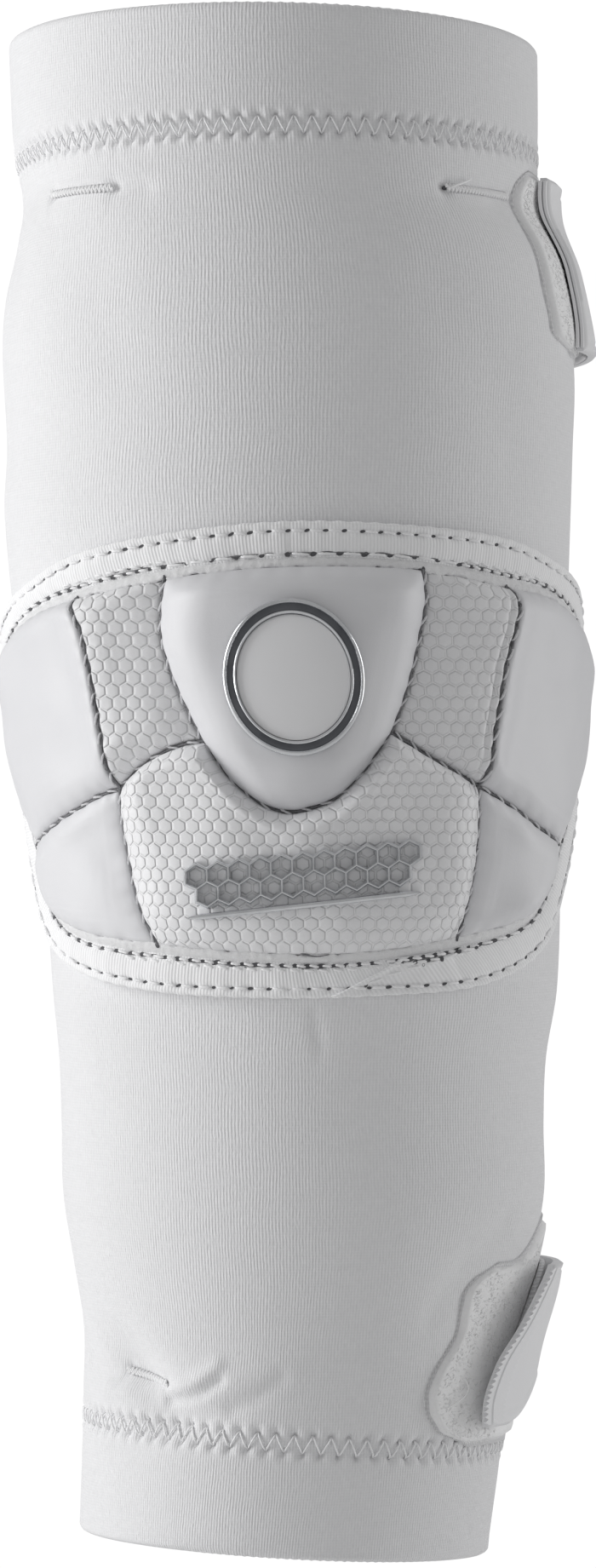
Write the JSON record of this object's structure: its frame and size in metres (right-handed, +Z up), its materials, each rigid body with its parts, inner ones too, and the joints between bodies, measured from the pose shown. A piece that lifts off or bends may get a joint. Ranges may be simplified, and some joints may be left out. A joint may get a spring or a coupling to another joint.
{
  "type": "lacrosse arm pad",
  "caption": "Long stretch sleeve with turned-in hems, a padded elbow cap of sewn panels in a bound edge, a plain oval badge, and two wrap straps with moulded tabs.",
  "frame": {"origin": "on the arm's axis inside the sleeve, behind the middle of the elbow cap", "axes": "+Z runs up the arm towards the shoulder, -Y points out through the elbow cap, +X is to the right as the cap is faced"},
  "size_m": [0.1356, 0.1235, 0.3395],
  "materials": {
    "knit_fabric": "matte stretch knit",
    "hem_fabric": "matte stretch knit, inner face",
    "felt": "matte felt",
    "binding_tape": "matte ribbed knit tape",
    "smooth_leather": "smooth satin synthetic leather",
    "embossed_leather": "satin synthetic leather embossed with a honeycomb",
    "bright_metal": "bright bevelled metal finish",
    "badge_field": "pale satin plastic",
    "loop_pile": "brushed loop pile",
    "strap_webbing": "woven elastic webbing",
    "moulded_tab": "moulded matte soft plastic"
  },
  "bodies": {
    "root": {"sleeve": "knit_fabric", "upper_hem": "hem_fabric", "lower_hem": "hem_fabric", "cap_backing": "felt", "shield_panel": "smooth_leather", "honeycomb_left": "embossed_leather", "honeycomb_right": "embossed_leather", "honeycomb_lower": "embossed_leather", "wing_upper_left": "smooth_leather", "wing_upper_right": "smooth_leather", "wing_lower_left": "smooth_leather", "wing_lower_right": "smooth_leather", "binding": "binding_tape", "binding_end": "binding_tape", "badge_rim": "bright_metal", "badge_field": "badge_field", "trim": "bright_metal", "trim_bar": "bright_metal", "upper_loop_patch": "loop_pile", "upper_strap": "strap_webbing", "upper_strap_tab": "moulded_tab", "lower_loop_patch": "loop_pile", "lower_strap": "strap_webbing", "lower_strap_tab": "moulded_tab"}
  },
  "joints": []
}
